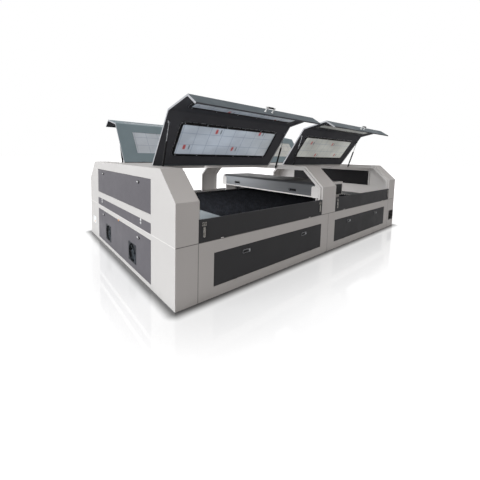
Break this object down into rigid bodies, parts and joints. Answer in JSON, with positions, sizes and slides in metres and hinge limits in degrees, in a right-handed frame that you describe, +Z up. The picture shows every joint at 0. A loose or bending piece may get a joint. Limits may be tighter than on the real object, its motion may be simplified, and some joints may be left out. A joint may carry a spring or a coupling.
{
  "type": "fiber laser cutting machine",
  "caption": "Enclosed gantry laser cutting machine: folded gull-wing lids held open on gas struts, rack-driven bridge over a slatted bed, drop-down front doors and loading flaps.",
  "frame": {"origin": "on the floor at the centre of the bounding box", "axes": "+X along the machine towards the plain end, -Y is the front with the doors, +Z up"},
  "size_m": [4.31, 2.5755, 1.6334],
  "materials": {
    "light_paint": "fine-textured semi-gloss light grey paint",
    "warm_paint": "fine-textured semi-gloss warm grey paint",
    "dark_paint": "fine-textured charcoal paint",
    "slate_paint": "semi-gloss slate grey paint",
    "end_panel_paint": "semi-gloss mid grey paint",
    "window_film": "pale translucent sheet with a fine grid film",
    "black_paint": "satin black",
    "black_plastic": "moulded black",
    "steel": "ground and oiled",
    "head_metal": "anodised satin",
    "bed_black": "scorched black steel",
    "cream_paint": "semi-gloss cream paint"
  },
  "bodies": {
    "casing": {"base_left": "warm_paint", "base_right": "warm_paint", "end_base_left": "light_paint", "end_base_right": "light_paint", "end_arch_left": "light_paint", "end_arch_right": "light_paint", "middle_arch": "light_paint", "top_panel_left": "cream_paint", "top_panel_right": "cream_paint", "slat_bed": "bed_black", "guide_rail_front": "steel", "guide_rail_back": "steel", "upper_end_panel_left": "end_panel_paint", "upper_end_panel_right": "end_panel_paint", "lower_end_panel_left": "end_panel_paint", "lower_end_panel_right": "end_panel_paint", "scrap_tray_left": "dark_paint", "scrap_tray_right": "dark_paint"},
    "gantry": {"gantry_beam": "cream_paint", "gantry_cover": "light_paint", "drive_motor": "black_paint"},
    "cross_shaft": {"drive_shaft": "steel"},
    "carriage": {"head_carriage": "dark_paint"},
    "head": {"cutting_head": "head_metal"},
    "fan_front": {"fan_impeller_front": "black_plastic"},
    "fan_back": {"fan_impeller_back": "black_plastic"},
    "door_left": {"front_door_left": "dark_paint"},
    "lid_front_left": {"lid_front_left": "slate_paint", "window_front_left": "window_film", "slant_window_front_left": "window_film"},
    "flap_front_left": {"flap_front_left": "dark_paint"},
    "strut_cylinder_front_left_a": {"strut_cylinder_front_left_a": "black_paint"},
    "strut_rod_front_left_a": {"strut_rod_front_left_a": "steel"},
    "strut_cylinder_front_left_b": {"strut_cylinder_front_left_b": "black_paint"},
    "strut_rod_front_left_b": {"strut_rod_front_left_b": "steel"},
    "lid_back_left": {"lid_back_left": "slate_paint", "window_back_left": "window_film", "slant_window_back_left": "window_film"},
    "flap_back_left": {"flap_back_left": "dark_paint"},
    "strut_cylinder_back_left_a": {"strut_cylinder_back_left_a": "black_paint"},
    "strut_rod_back_left_a": {"strut_rod_back_left_a": "steel"},
    "strut_cylinder_back_left_b": {"strut_cylinder_back_left_b": "black_paint"},
    "strut_rod_back_left_b": {"strut_rod_back_left_b": "steel"},
    "door_right": {"front_door_right": "dark_paint"},
    "lid_front_right": {"lid_front_right": "slate_paint", "window_front_right": "window_film", "slant_window_front_right": "window_film"},
    "flap_front_right": {"flap_front_right": "dark_paint"},
    "strut_cylinder_front_right_a": {"strut_cylinder_front_right_a": "black_paint"},
    "strut_rod_front_right_a": {"strut_rod_front_right_a": "steel"},
    "strut_cylinder_front_right_b": {"strut_cylinder_front_right_b": "black_paint"},
    "strut_rod_front_right_b": {"strut_rod_front_right_b": "steel"},
    "lid_back_right": {"lid_back_right": "slate_paint", "window_back_right": "window_film", "slant_window_back_right": "window_film"},
    "flap_back_right": {"flap_back_right": "dark_paint"},
    "strut_cylinder_back_right_a": {"strut_cylinder_back_right_a": "black_paint"},
    "strut_rod_back_right_a": {"strut_rod_back_right_a": "steel"},
    "strut_cylinder_back_right_b": {"strut_cylinder_back_right_b": "black_paint"},
    "strut_rod_back_right_b": {"strut_rod_back_right_b": "steel"}
  },
  "joints": [
    {"name": "gantry_travel", "type": "slide", "parent": "casing", "child": "gantry", "axis": [1, 0, 0], "range_m": [-2.13, 0.86]},
    {"name": "shaft_turn", "type": "hinge", "parent": "gantry", "child": "cross_shaft", "pos_m": [0.435, -0.00925, 0.572], "axis": [0, 1, 0], "range_deg": [-1695, 684.37]},
    {"name": "carriage_travel", "type": "slide", "parent": "gantry", "child": "carriage", "axis": [0, 1, 0], "range_m": [-0.75, 0.75]},
    {"name": "head_lift", "type": "slide", "parent": "carriage", "child": "head", "axis": [0, 0, 1], "range_m": [-0.03, 0.02]},
    {"name": "fan_front_spin", "type": "hinge", "parent": "casing", "child": "fan_front", "pos_m": [-2.12915, -0.41125, 0.19], "axis": [1, 0, 0], "continuous": true},
    {"name": "fan_back_spin", "type": "hinge", "parent": "casing", "child": "fan_back", "pos_m": [-2.12915, 0.39275, 0.19], "axis": [1, 0, 0], "continuous": true},
    {"name": "door_left_hinge", "type": "hinge", "parent": "casing", "child": "door_left", "pos_m": [-1.002, -1.28375, 0.095], "axis": [1, 0, 0], "range_deg": [0, 90]},
    {"name": "lid_front_left_hinge", "type": "hinge", "parent": "casing", "child": "lid_front_left", "pos_m": [-1.0785, -0.41125, 1.048], "axis": [1, 0, 0], "range_deg": [0, 56]},
    {"name": "flap_front_left_hinge", "type": "hinge", "parent": "casing", "child": "flap_front_left", "pos_m": [-1.0785, -1.28375, 0.485], "axis": [1, 0, 0], "range_deg": [0, 180]},
    {"name": "strut_cylinder_front_left_a_turn", "type": "hinge", "parent": "casing", "child": "strut_cylinder_front_left_a", "pos_m": [-1.9145, -0.57925, 1.003], "axis": [1, 0, 0], "range_deg": [0, 70.17]},
    {"name": "strut_rod_front_left_a_slide", "type": "slide", "parent": "strut_cylinder_front_left_a", "child": "strut_rod_front_left_a", "axis": [0, -0.2969, 0.9549], "range_m": [-0.13079, 0]},
    {"name": "strut_cylinder_front_left_b_turn", "type": "hinge", "parent": "casing", "child": "strut_cylinder_front_left_b", "pos_m": [-0.2425, -0.57925, 1.003], "axis": [1, 0, 0], "range_deg": [0, 70.17]},
    {"name": "strut_rod_front_left_b_slide", "type": "slide", "parent": "strut_cylinder_front_left_b", "child": "strut_rod_front_left_b", "axis": [0, -0.2969, 0.9549], "range_m": [-0.13079, 0]},
    {"name": "lid_back_left_hinge", "type": "hinge", "parent": "casing", "child": "lid_back_left", "pos_m": [-1.0785, 0.39275, 1.048], "axis": [-1, 0, 0], "range_deg": [0, 56]},
    {"name": "flap_back_left_hinge", "type": "hinge", "parent": "casing", "child": "flap_back_left", "pos_m": [-1.0785, 1.26525, 0.485], "axis": [1, 0, 0], "range_deg": [0, 180]},
    {"name": "strut_cylinder_back_left_a_turn", "type": "hinge", "parent": "casing", "child": "strut_cylinder_back_left_a", "pos_m": [-1.9145, 0.56075, 1.003], "axis": [-1, 0, 0], "range_deg": [0, 70.17]},
    {"name": "strut_rod_back_left_a_slide", "type": "slide", "parent": "strut_cylinder_back_left_a", "child": "strut_rod_back_left_a", "axis": [0, 0.2969, 0.9549], "range_m": [-0.13079, 0]},
    {"name": "strut_cylinder_back_left_b_turn", "type": "hinge", "parent": "casing", "child": "strut_cylinder_back_left_b", "pos_m": [-0.2425, 0.56075, 1.003], "axis": [-1, 0, 0], "range_deg": [0, 70.17]},
    {"name": "strut_rod_back_left_b_slide", "type": "slide", "parent": "strut_cylinder_back_left_b", "child": "strut_rod_back_left_b", "axis": [0, 0.2969, 0.9549], "range_m": [-0.13079, 0]},
    {"name": "door_right_hinge", "type": "hinge", "parent": "casing", "child": "door_right", "pos_m": [0.9195, -1.28375, 0.095], "axis": [1, 0, 0], "range_deg": [0, 90]},
    {"name": "lid_front_right_hinge", "type": "hinge", "parent": "casing", "child": "lid_front_right", "pos_m": [0.993, -0.41125, 1.048], "axis": [1, 0, 0], "range_deg": [0, 56]},
    {"name": "flap_front_right_hinge", "type": "hinge", "parent": "casing", "child": "flap_front_right", "pos_m": [0.993, -1.28375, 0.485], "axis": [1, 0, 0], "range_deg": [0, 180]},
    {"name": "strut_cylinder_front_right_a_turn", "type": "hinge", "parent": "casing", "child": "strut_cylinder_front_right_a", "pos_m": [0.1415, -0.57925, 1.003], "axis": [1, 0, 0], "range_deg": [0, 70.17]},
    {"name": "strut_rod_front_right_a_slide", "type": "slide", "parent": "strut_cylinder_front_right_a", "child": "strut_rod_front_right_a", "axis": [0, -0.2969, 0.9549], "range_m": [-0.13079, 0]},
    {"name": "strut_cylinder_front_right_b_turn", "type": "hinge", "parent": "casing", "child": "strut_cylinder_front_right_b", "pos_m": [1.8445, -0.57925, 1.003], "axis": [1, 0, 0], "range_deg": [0, 70.17]},
    {"name": "strut_rod_front_right_b_slide", "type": "slide", "parent": "strut_cylinder_front_right_b", "child": "strut_rod_front_right_b", "axis": [0, -0.2969, 0.9549], "range_m": [-0.13079, 0]},
    {"name": "lid_back_right_hinge", "type": "hinge", "parent": "casing", "child": "lid_back_right", "pos_m": [0.993, 0.39275, 1.048], "axis": [-1, 0, 0], "range_deg": [0, 56]},
    {"name": "flap_back_right_hinge", "type": "hinge", "parent": "casing", "child": "flap_back_right", "pos_m": [0.993, 1.26525, 0.485], "axis": [1, 0, 0], "range_deg": [0, 180]},
    {"name": "strut_cylinder_back_right_a_turn", "type": "hinge", "parent": "casing", "child": "strut_cylinder_back_right_a", "pos_m": [0.1415, 0.56075, 1.003], "axis": [-1, 0, 0], "range_deg": [0, 70.17]},
    {"name": "strut_rod_back_right_a_slide", "type": "slide", "parent": "strut_cylinder_back_right_a", "child": "strut_rod_back_right_a", "axis": [0, 0.2969, 0.9549], "range_m": [-0.13079, 0]},
    {"name": "strut_cylinder_back_right_b_turn", "type": "hinge", "parent": "casing", "child": "strut_cylinder_back_right_b", "pos_m": [1.8445, 0.56075, 1.003], "axis": [-1, 0, 0], "range_deg": [0, 70.17]},
    {"name": "strut_rod_back_right_b_slide", "type": "slide", "parent": "strut_cylinder_back_right_b", "child": "strut_rod_back_right_b", "axis": [0, 0.2969, 0.9549], "range_m": [-0.13079, 0]}
  ],
  "couplings": [
    {"joint": "shaft_turn", "follows": "gantry_travel", "rad_per_m": 13.889},
    {"joint": "strut_cylinder_front_left_a_turn", "follows": "lid_front_left_hinge", "ratio": 1.253},
    {"joint": "strut_rod_front_left_a_slide", "follows": "lid_front_left_hinge", "m_per_rad": -0.13382},
    {"joint": "strut_cylinder_front_left_b_turn", "follows": "lid_front_left_hinge", "ratio": 1.253},
    {"joint": "strut_rod_front_left_b_slide", "follows": "lid_front_left_hinge", "m_per_rad": -0.13382},
    {"joint": "strut_cylinder_back_left_a_turn", "follows": "lid_back_left_hinge", "ratio": 1.253},
    {"joint": "strut_rod_back_left_a_slide", "follows": "lid_back_left_hinge", "m_per_rad": -0.13382},
    {"joint": "strut_cylinder_back_left_b_turn", "follows": "lid_back_left_hinge", "ratio": 1.253},
    {"joint": "strut_rod_back_left_b_slide", "follows": "lid_back_left_hinge", "m_per_rad": -0.13382},
    {"joint": "strut_cylinder_front_right_a_turn", "follows": "lid_front_right_hinge", "ratio": 1.253},
    {"joint": "strut_rod_front_right_a_slide", "follows": "lid_front_right_hinge", "m_per_rad": -0.13382},
    {"joint": "strut_cylinder_front_right_b_turn", "follows": "lid_front_right_hinge", "ratio": 1.253},
    {"joint": "strut_rod_front_right_b_slide", "follows": "lid_front_right_hinge", "m_per_rad": -0.13382},
    {"joint": "strut_cylinder_back_right_a_turn", "follows": "lid_back_right_hinge", "ratio": 1.253},
    {"joint": "strut_rod_back_right_a_slide", "follows": "lid_back_right_hinge", "m_per_rad": -0.13382},
    {"joint": "strut_cylinder_back_right_b_turn", "follows": "lid_back_right_hinge", "ratio": 1.253},
    {"joint": "strut_rod_back_right_b_slide", "follows": "lid_back_right_hinge", "m_per_rad": -0.13382}
  ]
}
